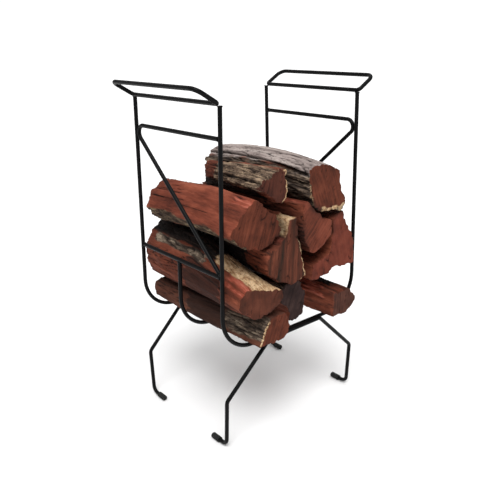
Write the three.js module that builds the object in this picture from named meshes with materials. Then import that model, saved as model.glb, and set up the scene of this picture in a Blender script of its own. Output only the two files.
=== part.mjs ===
// A firewood bundle: a free-standing rack welded from round steel rod, filled with ten split logs.
//
// Frame: millimetres, +Z up, the floor at z = 0, the origin under the middle of the rack. The handles are
// at -X (left) and +X (right), and the logs lie along Y with their sawn ends towards -Y (the front).

import * as THREE from 'three';

// ---------------------------------------------------------------- driving dimensions

const ROD_RADIUS = 4;
const ROD_SIDES = 10;
const WELD_GAP = 0.3; // left between pieces that touch
const CONTACT = 2 * ROD_RADIUS + WELD_GAP; // between the axes of two rods that lie side by side
const BUTT = ROD_RADIUS + WELD_GAP; // from the end of a rod to the axis of the rod that it meets
const ARC_STEP = THREE.MathUtils.degToRad(13); // largest turn between two rings of a bend

const POST_Y = 132.5; // the posts stand at y = -POST_Y and y = +POST_Y
const CRADLE_Z = 204.4; // axis of the cradle bottoms
const CRADLE_HALF = 178.6; // half width of the cradle at CRADLE_Z
const CRADLE_BEND = 70;
const HANDLE_Z = 657.4; // axis of a handle loop's inner bar
const POST_TOP_HALF = 169.9; // half width of the cradle at HANDLE_Z

const BRACE_Z = 600;
const BRACE_BEND = 14.2;
const BRACE_FOOT_Y = -123.5;
const BRACE_SLOPE = 0.873; // rise of the diagonal over its run
const BRACE_FOOT_RISE = 7.8; // from the axis of the cross bar to the end of the diagonal's axis
const CROSS_BAR_Z = 355.5;

const HANDLE_SET_OUT = 3.3; // inner bar outside the post axis
const HANDLE_REACH = 44; // from the inner bar to the outer bar, along X
const HANDLE_RISE = 26.2; // and along Z
const HANDLE_HALF_LENGTH = 133.3;
const HANDLE_INNER_BEND = 8;
const HANDLE_OUTER_BEND = 16;

const LEG_HALF = 175.4; // half distance between the legs of one rod
const LEG_CREST_HALF = 70.3;
const LEG_KNEE_Z = 104;
const LEG_LEAN = 0.05; // inward shift of a leg for each millimetre down
const LEG_BEND = 12;
const FOOT_BEND = 14;
const FOOT_REACH = 41; // from the leg to the end of its foot, along Y

const TIP_RADIUS = 5.8; // to the flats of the rubber tip, which stand on the floor
const TIP_SIDES = 12;
const TIP_LENGTH = 22;
const TIP_WALL = 2;
const TIP_CHAMFER = 0.9;

const LOG_STATIONS = 9;

// ---------------------------------------------------------------- materials

const finishes = {
  steel: { color: 0x17181a, roughness: 0.42, metalness: 0.55 },
  rubber: { color: 0x101010, roughness: 0.85, metalness: 0 },
  redWood: { color: 0x8a4a38, roughness: 0.8, metalness: 0 },
  greyBark: { color: 0x7d736e, roughness: 0.9, metalness: 0 },
  darkWood: { color: 0x4a2f28, roughness: 0.88, metalness: 0 },
};

// ---------------------------------------------------------------- geometry helpers

const vec = (x, y, z) => new THREE.Vector3(x, y, z);

/** Half width of the cradle at height z: the posts lean in towards the top. */
function cradleHalf(z) {
  return THREE.MathUtils.mapLinear(z, CRADLE_Z, HANDLE_Z, CRADLE_HALF, POST_TOP_HALF);
}

/** Points of the arc that rounds the corner at b, on the way from a to c. */
function bend(a, b, c, radius) {
  const back = a.clone().sub(b).normalize();
  const ahead = c.clone().sub(b).normalize();
  const half = back.angleTo(ahead) / 2;
  const turn = Math.PI - 2 * half;
  const centre = back.clone().add(ahead).normalize().multiplyScalar(radius / Math.sin(half)).add(b);
  const start = back.clone().multiplyScalar(radius / Math.tan(half)).add(b).sub(centre);
  const axis = back.clone().cross(ahead).normalize();
  const steps = Math.max(2, Math.ceil(turn / ARC_STEP));
  return Array.from({ length: steps + 1 }, (_, i) => {
    return start.clone().applyAxisAngle(axis, (-turn * i) / steps).add(centre);
  });
}

/** A path of straight runs and arcs: corners is a list of [point, radius]. */
function rodPath(corners, closed = false) {
  const count = corners.length;
  const at = (i) => corners[(i + count) % count][0];
  return corners.flatMap(([point, radius], i) => {
    const isEnd = !closed && (i === 0 || i === count - 1);
    return isEnd ? [point] : bend(at(i - 1), point, at(i + 1), radius);
  });
}

/** Joins rings of equal count into one closed body, capped at its ends or closed on itself. */
function loft(rings, closed = false) {
  const count = rings[0].length;
  const ringIndex = (ring, i) => (ring % rings.length) * count + (i % count);
  const index = [];
  for (let ring = 0; ring < rings.length - (closed ? 0 : 1); ring += 1) {
    for (let i = 0; i < count; i += 1) {
      const [a, b] = [ringIndex(ring, i), ringIndex(ring, i + 1)];
      const [c, d] = [ringIndex(ring + 1, i), ringIndex(ring + 1, i + 1)];
      index.push(a, b, d, a, d, c);
    }
  }
  if (!closed) {
    index.push(...cap(rings[0]).flatMap(([a, b, c]) => [a, c, b]));
    const last = (rings.length - 1) * count;
    index.push(...cap(rings.at(-1)).flat().map((i) => i + last));
  }
  const points = rings.flat();
  const geometry = new THREE.BufferGeometry().setFromPoints(points);
  geometry.setIndex(volume(points, index) < 0 ? index.reverse() : index);
  geometry.computeVertexNormals();
  return geometry;
}

/** Triangles that fill a flat ring, wound the way that the ring runs. */
function cap(ring) {
  const normal = newell(ring);
  const u = ring[1].clone().sub(ring[0]).normalize();
  const v = normal.clone().cross(u);
  return THREE.ShapeUtils.triangulateShape(ring.map((p) => new THREE.Vector2(p.dot(u), p.dot(v))), []);
}

/** Unit normal of a ring, by Newell's sum, so that a dented outline is handled too. */
function newell(ring) {
  const sum = vec(0, 0, 0);
  ring.forEach((p, i) => sum.add(p.clone().cross(ring[(i + 1) % ring.length])));
  return sum.normalize();
}

/** Six times the signed volume of a closed triangle mesh. */
function volume(points, index) {
  let total = 0;
  for (let i = 0; i < index.length; i += 3) {
    const [a, b, c] = index.slice(i, i + 3).map((k) => points[k]);
    total += a.dot(b.clone().cross(c));
  }
  return total;
}

/** A round rod along a path. planeNormal keeps the rings of a closed loop in step. */
function rod(path, { closed = false, planeNormal = null } = {}) {
  const count = path.length;
  const at = (i) => path[(i + count) % count];
  const direction = (from, to) => at(to).clone().sub(at(from)).normalize();
  const tangents = path.map((_, i) => {
    const before = !closed && i === 0 ? direction(0, 1) : direction(i - 1, i);
    const after = !closed && i === count - 1 ? before : direction(i, i + 1);
    return before.clone().add(after).normalize();
  });
  let normal = planeNormal ?? sideways(tangents[0]);
  const rings = path.map((point, i) => {
    normal = normal.clone().projectOnPlane(tangents[i]).normalize();
    const other = tangents[i].clone().cross(normal);
    return Array.from({ length: ROD_SIDES }, (_, k) => {
      const angle = ((k + 0.5) * 2 * Math.PI) / ROD_SIDES;
      const out = normal.clone().multiplyScalar(Math.cos(angle)).addScaledVector(other, Math.sin(angle));
      return point.clone().addScaledVector(out, ROD_RADIUS);
    });
  });
  return loft(rings, closed);
}

/** Some direction square to a tangent. */
function sideways(tangent) {
  const least = Math.abs(tangent.y) < 0.9 ? vec(0, 1, 0) : vec(0, 0, 1);
  return least.projectOnPlane(tangent).normalize();
}

// ---------------------------------------------------------------- rack

/** A U of rod across the rack at y, whose two ends stand at height top. */
function cradleRod(y, top) {
  const corner = (side, z) => vec(side * cradleHalf(z), y, z);
  return rod(rodPath([
    [corner(-1, top), 0],
    [corner(-1, CRADLE_Z), CRADLE_BEND],
    [corner(1, CRADLE_Z), CRADLE_BEND],
    [corner(1, top), 0],
  ]));
}

/** A closed handle loop, tilted out and up from the tops of two posts. */
function handleLoop(side) {
  const inner = side * (POST_TOP_HALF + HANDLE_SET_OUT);
  const outer = inner + side * HANDLE_REACH;
  const top = HANDLE_Z + HANDLE_RISE;
  const corners = [
    [vec(inner, -HANDLE_HALF_LENGTH, HANDLE_Z), HANDLE_INNER_BEND],
    [vec(inner, HANDLE_HALF_LENGTH, HANDLE_Z), HANDLE_INNER_BEND],
    [vec(outer, HANDLE_HALF_LENGTH, top), HANDLE_OUTER_BEND],
    [vec(outer, -HANDLE_HALF_LENGTH, top), HANDLE_OUTER_BEND],
  ];
  const planeNormal = vec(-side * HANDLE_RISE, 0, HANDLE_REACH).normalize();
  return rod(rodPath(corners, true), { closed: true, planeNormal });
}

/** A bent rod in a side frame: a level bar, a tight bend by one post, and a diagonal down to the other. */
function braceRod(side) {
  const footZ = CROSS_BAR_Z + BRACE_FOOT_RISE;
  const cornerY = BRACE_FOOT_Y + (BRACE_Z - footZ) / BRACE_SLOPE;
  const at = (y, z) => vec(side * cradleHalf(z), -side * y, z);
  return rod(rodPath([
    [at(BUTT - POST_Y, BRACE_Z), 0],
    [at(cornerY, BRACE_Z), BRACE_BEND],
    [at(BRACE_FOOT_Y, footZ), 0],
  ]));
}

/** The low straight bar between the two posts of a side frame. */
function crossBar(side) {
  const x = side * cradleHalf(CROSS_BAR_Z);
  return rod([vec(x, BUTT - POST_Y, CROSS_BAR_Z), vec(x, POST_Y - BUTT, CROSS_BAR_Z)]);
}

/** Distance of a leg rod's axis from the middle plane at height z. */
function legY(z) {
  return POST_Y + CONTACT - LEG_LEAN * (CRADLE_Z - z);
}

/** A pair of legs from one rod: foot, leg, knee, rise, and the level crest beside the cradle bottom. */
function legRod(side) {
  const at = (x, z) => vec(x, side * legY(z), z);
  const footEnd = (x) => vec(x, side * (legY(TIP_RADIUS) - FOOT_REACH), TIP_RADIUS);
  const half = (sign) => [
    [footEnd(sign * LEG_HALF), 0],
    [at(sign * LEG_HALF, TIP_RADIUS), FOOT_BEND],
    [at(sign * LEG_HALF, LEG_KNEE_Z), LEG_BEND],
    [at(sign * LEG_CREST_HALF, CRADLE_Z), LEG_BEND],
  ];
  return rod(rodPath([...half(-1), ...half(1).reverse()]));
}

/** A rubber tip: a cap with a blind bore, a flat of it level with the floor. */
function footTip() {
  const corner = 1 / Math.cos(Math.PI / TIP_SIDES);
  const outer = TIP_RADIUS * corner;
  const bore = (ROD_RADIUS + WELD_GAP) * corner;
  const profile = [
    [0, 0],
    [outer - TIP_CHAMFER, 0],
    [outer, TIP_CHAMFER],
    [outer, TIP_LENGTH],
    [bore, TIP_LENGTH],
    [bore, TIP_WALL],
    [0, TIP_WALL],
  ].map(([r, h]) => new THREE.Vector2(r, h));
  return new THREE.LatheGeometry(profile, TIP_SIDES, Math.PI / TIP_SIDES);
}

// ---------------------------------------------------------------- logs

// Each log is lofted from its front outline to its back outline, as [x, z] seen from the front, through a
// middle outline where it has a hump, and bows up (rise) and sideways (sway) in the middle of its length.
const logs = {
  log_top_bark: {
    finish: 'greyBark', from: -162, to: 150, rise: 11, sway: 0,
    front: [
      [11, 527], [24, 533], [43, 534], [65, 530], [82, 523], [97, 514], [98, 490], [114, 459],
      [117, 446], [109, 438], [92, 435], [69, 438], [45, 442], [24, 456], [14, 483], [11, 508],
    ],
    back: [
      [4, 510], [14, 523], [40, 534], [64, 534], [84, 525], [98, 510], [102, 484], [112, 460],
      [113, 448], [106, 440], [90, 437], [66, 441], [44, 447], [24, 452], [4, 466], [-2, 494],
    ],
  },
  log_top_wedge: {
    finish: 'darkWood', from: -152, to: 100, rise: 0, sway: 0,
    front: [
      [-109, 511], [-95, 520], [-64, 532], [-52, 537], [-35, 536], [-35, 481], [-47, 471], [-60, 480],
      [-76, 492], [-93, 502],
    ],
    back: [
      [-36, 488], [-35, 506], [-28, 511], [-20, 514], [-10, 513], [-9, 476], [-14, 463], [-22, 458],
      [-30, 460], [-35, 468],
    ],
  },
  log_upper_left: {
    finish: 'redWood', from: -150, to: 152, rise: 6, sway: 0,
    front: [
      [-105, 484], [-78, 464], [-60, 447], [-48, 425], [-52, 411], [-70, 402], [-97, 397], [-130, 401],
      [-146, 411], [-165, 428], [-165, 436], [-147, 464], [-124, 481],
    ],
    back: [
      [-100, 480], [-80, 462], [-66, 446], [-60, 430], [-64, 414], [-78, 401], [-98, 395], [-120, 395],
      [-140, 406], [-152, 424], [-152, 434], [-138, 458], [-118, 478],
    ],
  },
  log_upper_right: {
    finish: 'redWood', from: -165, to: 150, rise: 0, sway: 0,
    front: [
      [-4, 444], [-5, 413], [4, 389], [18, 369], [25, 366], [54, 378], [68, 386], [76, 397],
      [68, 416], [43, 434], [26, 449], [7, 468], [-6, 465],
    ],
    back: [
      [-7, 440], [-5, 413], [5, 389], [17, 371], [26, 367], [54, 377], [67, 387], [74, 398],
      [66, 417], [42, 435], [26, 447], [6, 460], [-7, 458],
    ],
  },
  log_middle: {
    finish: 'redWood', from: -158, to: 150, rise: 0, sway: 0,
    front: [
      [-16, 441], [-15, 428], [-8, 405], [-4, 390], [3, 357], [11, 318], [-6, 312], [-33, 313],
      [-59, 323], [-76, 335], [-88, 346], [-91, 368], [-84, 386], [-60, 395], [-41, 414], [-37, 441],
    ],
    back: [
      [-18, 436], [-16, 424], [-10, 406], [-6, 392], [2, 358], [10, 322], [-2, 314], [-24, 312],
      [-40, 318], [-48, 334], [-54, 350], [-61, 370], [-76, 385], [-68, 394], [-50, 408], [-40, 436],
    ],
  },
  log_right: {
    finish: 'redWood', from: -160, to: 155, rise: 0, sway: 0,
    front: [
      [112, 432], [129, 396], [143, 367], [152, 335], [152, 309], [109, 316], [88, 314], [74, 306],
      [44, 304], [27, 307], [27, 333], [52, 340], [72, 347], [78, 362], [86, 394], [82, 419],
    ],
    back: [
      [104, 428], [126, 398], [140, 368], [150, 338], [150, 312], [112, 311], [92, 308], [76, 304],
      [50, 303], [34, 307], [34, 332], [56, 341], [74, 350], [79, 364], [86, 394], [82, 417],
    ],
  },
  log_left: {
    finish: 'redWood', from: -172, to: 172, rise: 0, sway: 0,
    front: [
      [-150, 333], [-126, 331], [-108, 325], [-80, 318], [-67, 302], [-70, 288], [-93, 277], [-114, 273],
      [-137, 278], [-160, 291], [-167, 304], [-164, 322],
    ],
    middle: [
      [-137, 364], [-118, 382], [-98, 384], [-83, 364], [-75, 340], [-68, 306], [-86, 285], [-108, 276],
      [-130, 276], [-148, 287], [-158, 306], [-156, 336],
    ],
    back: [
      [-124, 374], [-104, 388], [-86, 384], [-67, 364], [-58, 342], [-62, 316], [-76, 288], [-98, 269],
      [-122, 264], [-135, 275], [-146, 302], [-149, 338],
    ],
  },
  log_bottom_left: {
    finish: 'darkWood', from: -172, to: 148, rise: 0, sway: -5,
    front: [
      [-125, 213], [-114, 230], [-105, 250], [-93, 263], [-78, 270], [-57, 266], [-46, 252], [-44, 236],
      [-52, 223], [-68, 213],
    ],
    back: [
      [-134, 219.5], [-144, 229.5], [-148, 246], [-141, 258], [-118, 262], [-92, 258], [-77, 248], [-75, 233],
      [-86, 217], [-112, 210.5],
    ],
  },
  log_bottom_middle: {
    finish: 'darkWood', from: -128, to: 160, rise: 0, sway: 0,
    front: [
      [-22, 296], [-3, 301], [28, 295], [38, 270], [39, 246], [33, 220], [19, 213], [5, 210],
      [-6, 215], [-3, 231], [-12, 247], [-30, 264],
    ],
    back: [
      [-28, 292], [-6, 301], [29, 294], [40, 270], [42, 246], [36, 218], [20, 212], [4, 210],
      [-12, 214], [-14, 232], [-22, 250], [-34, 266],
    ],
  },
  log_bottom_right: {
    finish: 'redWood', from: -170, to: 155, rise: 0, sway: 0,
    front: [
      [80, 264], [126, 264], [135, 257], [146, 241], [151, 232], [141, 221], [130, 214], [110, 209.5],
      [80, 209.5],
    ],
    back: [
      [66, 268], [118, 276], [134, 264], [146, 247], [149, 234], [139, 222], [128, 214], [104, 210],
      [72, 210],
    ],
  },
};

/** A split log, lofted along Y from its front outline, through a middle one where it has one, to its back. */
function splitLog({ from, to, rise, sway, front, middle, back }) {
  const outlines = middle ? [front, middle, back] : [front, back];
  const rings = Array.from({ length: LOG_STATIONS }, (_, station) => {
    const t = station / (LOG_STATIONS - 1);
    const arch = Math.sin(Math.PI * t);
    const before = Math.min(Math.floor(t * (outlines.length - 1)), outlines.length - 2);
    const share = t * (outlines.length - 1) - before;
    return outlines[before].map(([x, z], i) => {
      const [nextX, nextZ] = outlines[before + 1][i];
      return vec(
        THREE.MathUtils.lerp(x, nextX, share) + sway * arch,
        THREE.MathUtils.lerp(from, to, t),
        THREE.MathUtils.lerp(z, nextZ, share) + rise * arch,
      );
    });
  });
  return loft(rings);
}

// ---------------------------------------------------------------- assembly

const bundle = new THREE.Group();

function add(name, geometry, finish) {
  const mesh = new THREE.Mesh(geometry, new THREE.MeshStandardMaterial(finishes[finish]));
  mesh.name = name;
  bundle.add(mesh);
  return mesh;
}

const postTop = HANDLE_Z - BUTT;
add('front_cradle_rod', cradleRod(-POST_Y, postTop), 'steel');
add('middle_cradle_rod', cradleRod(0, CROSS_BAR_Z - BUTT), 'steel');
add('back_cradle_rod', cradleRod(POST_Y, postTop), 'steel');

for (const [sideName, side] of [['left', -1], ['right', 1]]) {
  add(`${sideName}_handle_loop`, handleLoop(side), 'steel');
  add(`${sideName}_brace_rod`, braceRod(side), 'steel');
  add(`${sideName}_cross_bar`, crossBar(side), 'steel');
}

for (const [endName, end] of [['front', -1], ['back', 1]]) {
  add(`${endName}_leg_rod`, legRod(end), 'steel');
  for (const [sideName, side] of [['left', -1], ['right', 1]]) {
    const tip = add(`${endName}_${sideName}_foot_tip`, footTip(), 'rubber');
    const closedEnd = legY(TIP_RADIUS) - FOOT_REACH - TIP_WALL - WELD_GAP;
    tip.rotation.x = end < 0 ? Math.PI : 0;
    tip.position.set(side * LEG_HALF, end * closedEnd, TIP_RADIUS);
  }
}

for (const [name, log] of Object.entries(logs)) {
  add(name, splitLog(log), log.finish);
}

export default bundle;
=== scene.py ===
"""Looks of a firewood bundle: a black rod rack filled with ten split logs.

The rods, welds and rubber tips are modelled with Blender's own tools, at the sizes of the CAD frame. Each
log starts as a copy of its CAD solid, which is remeshed and carved into bark, split fibres and sawn ends.
Sizes are in metres in the frame of the CAD model: +Z up, the floor at z = 0, and the logs' front ends
towards -Y.
"""

import logging
import math
import random
from dataclasses import dataclass, field
from enum import Enum, IntEnum
from itertools import product

import bpy
import numpy as np
from mathutils import Matrix, Vector
from mathutils.bvhtree import BVHTree


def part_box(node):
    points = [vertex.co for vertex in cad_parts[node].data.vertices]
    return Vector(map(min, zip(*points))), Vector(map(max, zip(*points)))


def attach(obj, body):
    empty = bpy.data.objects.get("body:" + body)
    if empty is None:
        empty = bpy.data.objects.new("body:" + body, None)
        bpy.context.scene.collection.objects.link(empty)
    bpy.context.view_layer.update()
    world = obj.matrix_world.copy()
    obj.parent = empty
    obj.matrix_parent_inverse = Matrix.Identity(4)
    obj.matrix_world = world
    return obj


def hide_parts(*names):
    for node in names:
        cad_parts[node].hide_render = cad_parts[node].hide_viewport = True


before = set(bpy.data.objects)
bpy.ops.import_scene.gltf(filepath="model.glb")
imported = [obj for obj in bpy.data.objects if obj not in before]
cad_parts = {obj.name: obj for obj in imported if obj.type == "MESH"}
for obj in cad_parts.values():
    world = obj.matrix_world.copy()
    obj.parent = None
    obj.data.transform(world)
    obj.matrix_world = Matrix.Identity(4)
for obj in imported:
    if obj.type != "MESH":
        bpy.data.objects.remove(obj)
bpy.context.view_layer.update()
REPORT = logging.getLogger("firewood_bundle")

MM = 0.001
MERGE = 1e-5
BODY = "root"
Colour = tuple[float, float, float]
Seat = tuple[float, float, float]
Socket = bpy.types.NodeSocket


# ---------------------------------------------------------------- numbers and colours


def smooth_share(value: np.ndarray, low: float, high: float) -> np.ndarray:
    """Rise smoothly from 0 at low to 1 at high.

    Args:
        value: Numbers of any shape.
        low: Where the rise starts.
        high: Where it ends; below low for a fall.

    Returns:
        Numbers from 0 to 1, of the same shape.
    """
    share = np.clip((value - low) / (high - low), 0.0, 1.0)
    return share * share * (3.0 - 2.0 * share)


def turned_from(angle: np.ndarray, centre: np.ndarray | float) -> np.ndarray:
    """Turn from one direction to others, the short way round.

    Args:
        angle: Directions, in degrees.
        centre: The direction that they are measured from.

    Returns:
        Degrees from -180 to 180.
    """
    return (angle - centre + 180) % 360 - 180


def from_screen(colour: Colour) -> tuple[float, float, float, float]:
    """Turn a screen colour of 0 to 255 into the linear colour that shaders take.

    Args:
        colour: Red, green and blue as a screen shows them.

    Returns:
        Linear red, green, blue and an opaque alpha.
    """
    shares = [channel / 255.0 for channel in colour]
    linear = [((share + 0.055) / 1.055) ** 2.4 if share > 0.04045 else share / 12.92 for share in shares]
    return (linear[0], linear[1], linear[2], 1.0)


# ---------------------------------------------------------------- shader board

# Near black that darkens real smudges and specks, and also the painted shade in cracks, gaps and hidden
# stretches.
NEAR_BLACK_MARKS_AND_SHADE = (0.012, 0.008, 0.007, 1.0)


@dataclass(frozen=True)
class Signal:
    """A number that comes out of a node, with Python operators that add Math nodes."""

    board: "Board"
    socket: Socket

    def _math(self, operation: str, first: object, second: object) -> "Signal":
        """Add one Math node.

        Args:
            operation: Blender's name of the operation.
            first: The first number, a Signal or a plain number.
            second: The second number.

        Returns:
            The node's result.
        """
        made = self.board.node("ShaderNodeMath", {"operation": operation}, {0: first, 1: second})
        return Signal(self.board, made.outputs[0])

    def __add__(self, other: object) -> "Signal":
        """Add."""
        return self._math("ADD", self, other)

    def __radd__(self, other: object) -> "Signal":
        """Add, the other way round."""
        return self._math("ADD", other, self)

    def __sub__(self, other: object) -> "Signal":
        """Subtract."""
        return self._math("SUBTRACT", self, other)

    def __rsub__(self, other: object) -> "Signal":
        """Subtract from a plain number."""
        return self._math("SUBTRACT", other, self)

    def __mul__(self, other: object) -> "Signal":
        """Multiply."""
        return self._math("MULTIPLY", self, other)

    def __rmul__(self, other: object) -> "Signal":
        """Multiply, the other way round."""
        return self._math("MULTIPLY", other, self)

    def largest(self, other: object) -> "Signal":
        """Take the larger of two numbers."""
        return self._math("MAXIMUM", self, other)

    def between(self, low: float, high: float) -> "Signal":
        """Rise smoothly from 0 at low to 1 at high.

        Args:
            low: Where the rise starts.
            high: Where it ends.

        Returns:
            A number from 0 to 1.
        """
        settings = {"interpolation_type": "SMOOTHSTEP"}
        made = self.board.node("ShaderNodeMapRange", settings, {0: self, 1: low, 2: high})
        return Signal(self.board, made.outputs[0])


class Board:
    """The node board of one material."""

    def __init__(self, name: str) -> None:
        """Make an empty material.

        Args:
            name: The material's name.
        """
        self.material = bpy.data.materials.new(name)
        self.material.use_nodes = True
        self.tree = self.material.node_tree
        self.tree.nodes.clear()

    def node(self, kind: str, settings: dict | None = None, sockets: dict | None = None) -> bpy.types.Node:
        """Add a node.

        Args:
            kind: The node's type.
            settings: Its settings, made before its sockets are filled.
            sockets: Values, Signals or sockets by socket name or number.

        Returns:
            The node.
        """
        made = self.tree.nodes.new(kind)
        for name, value in (settings or {}).items():
            setattr(made, name, value)
        for name, value in (sockets or {}).items():
            if isinstance(value, Signal):
                self.tree.links.new(value.socket, made.inputs[name])
            elif isinstance(value, Socket):
                self.tree.links.new(value, made.inputs[name])
            else:
                made.inputs[name].default_value = value
        return made

    def attribute(self, name: str) -> Signal:
        """Read a mask that is kept on the mesh's points."""
        return Signal(self, self.node("ShaderNodeAttribute", {"attribute_name": name}).outputs["Fac"])

    def stretched(self, vector: Socket, scale: Seat, turn: Seat = (0, 0, 0)) -> Socket:
        """Turn and then scale a pattern's coordinates.

        Args:
            vector: The coordinates.
            scale: How many times finer the pattern gets along each axis.
            turn: Degrees about each axis.

        Returns:
            The new coordinates.
        """
        angles = [math.radians(angle) for angle in turn]
        sockets = {"Vector": vector, "Rotation": angles}
        turned = self.node("ShaderNodeMapping", {"vector_type": "TEXTURE"}, sockets)
        scaled = {"Vector": turned.outputs[0], "Scale": scale}
        return self.node("ShaderNodeMapping", None, scaled).outputs[0]

    def noise(self, vector: Socket, scale: float, detail: float = 3, roughness: float = 0.55) -> Signal:
        """Add a noise pattern.

        Args:
            vector: The coordinates.
            scale: Waves for each metre.
            detail: Number of finer layers.
            roughness: Strength of the finer layers.

        Returns:
            A number around 0.5.
        """
        sockets = {"Vector": vector, "Scale": scale, "Detail": detail, "Roughness": roughness}
        return Signal(self, self.node("ShaderNodeTexNoise", None, sockets).outputs["Fac"])

    def cells(self, vector: Socket, scale: float) -> Signal:
        """Add the distance to the nearest of many scattered points.

        Args:
            vector: The coordinates.
            scale: Points for each metre.

        Returns:
            A number from 0 at a point to about 1 far from all.
        """
        sockets = {"Vector": vector, "Scale": scale}
        return Signal(self, self.node("ShaderNodeTexVoronoi", None, sockets).outputs["Distance"])

    def ramp(self, signal: Signal, stops: list[tuple[float, Colour]]) -> Socket:
        """Turn a number into a colour.

        Args:
            signal: The number.
            stops: Places from 0 to 1 and the screen colour at each, at least two.

        Returns:
            The colour.
        """
        made = self.node("ShaderNodeValToRGB", None, {"Fac": signal})
        elements = made.color_ramp.elements
        while len(elements) < len(stops):
            elements.new(1.0)
        for element, (place, colour) in zip(elements, stops):
            element.position = place
            element.color = from_screen(colour)
        return made.outputs["Color"]

    def blend(self, share: Signal, first: object, second: object, kind: str = "MIX") -> Socket:
        """Blend two colours.

        Args:
            share: 0 for the first, 1 for the second.
            first: A colour socket or a linear colour.
            second: The same.
            kind: Blender's name of the blend.

        Returns:
            The blended colour.
        """
        settings = {"data_type": "RGBA", "blend_type": kind}
        return self.node("ShaderNodeMix", settings, {0: share, 6: first, 7: second}).outputs[2]

    def darkened(self, colour: Socket, share: Signal, strength: float) -> Socket:
        """Darken a colour where a mask is high.

        Args:
            colour: The colour.
            share: The mask.
            strength: Darkening at a full mask, from 0 to 1.

        Returns:
            The darker colour.
        """
        return self.blend(share * strength, colour, NEAR_BLACK_MARKS_AND_SHADE)

    def finish(self, colour: object, roughness: object, height: Signal, depth: float,
               **fixed: float) -> None:
        """Join the surface shader to the output.

        Args:
            colour: Base colour, a socket or a linear colour.
            roughness: Roughness, a Signal or a number.
            height: Bump height from 0 to 1.
            depth: Bump depth in metres.
            **fixed: Shader sockets that are the same all over, by name with _ for a space.
        """
        bump = self.node("ShaderNodeBump", None, {"Height": height, "Distance": depth, "Strength": 1.0})
        sockets = {name.replace("_", " "): value for name, value in fixed.items()}
        sockets |= {"Base Color": colour, "Roughness": roughness, "Normal": bump.outputs[0]}
        shader = self.node("ShaderNodeBsdfPrincipled", None, sockets)
        self.node("ShaderNodeOutputMaterial", None, {"Surface": shader.outputs[0]})


# ---------------------------------------------------------------- finishes


@dataclass(frozen=True)
class RodFinish:
    """Black powder coat on the steel rod, with a fine orange peel and a few dull rubs."""

    name: str = "black_powder_coat"
    coat: Colour = (7, 7, 8)
    rubbed: Colour = (24, 23, 22)

    def material(self) -> bpy.types.Material:
        """Build the material."""
        board = Board(self.name)
        place = board.node("ShaderNodeTexCoord").outputs["Object"]
        peel = board.noise(place, 900, 2)
        cloud = board.noise(place, 14, 4)
        rub = board.noise(board.stretched(place, (1, 1, 0.5)), 60, 5, 0.7).between(0.66, 0.78)
        colour = board.blend(rub * 0.6, from_screen(self.coat), from_screen(self.rubbed))
        roughness = 0.3 + cloud * 0.2 + rub * 0.2
        board.finish(colour, roughness, peel, 0.00012, Specular_IOR_Level=0.1)
        return board.material


@dataclass(frozen=True)
class RubberFinish:
    """Dull black rubber of the foot tips, with scattered patches of dust."""

    name: str = "black_rubber"
    rubber: Colour = (22, 22, 22)
    dust: Colour = (70, 67, 63)

    def material(self) -> bpy.types.Material:
        """Build the material."""
        board = Board(self.name)
        place = board.node("ShaderNodeTexCoord").outputs["Object"]
        grit = board.noise(place, 1400, 3)
        dusty = board.noise(place, 220, 4, 0.65).between(0.5, 0.8)
        colour = board.blend(dusty * 0.45, from_screen(self.rubber), from_screen(self.dust))
        board.finish(colour, 0.68 + grit * 0.25, grit, 0.0001, Specular_IOR_Level=0.3)
        return board.material


# Lighter red and pink of the painted highlights on split faces.
HIGHLIGHT_RED: Colour = (136, 66, 50)
HIGHLIGHT_PINK: Colour = (176, 102, 84)


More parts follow.
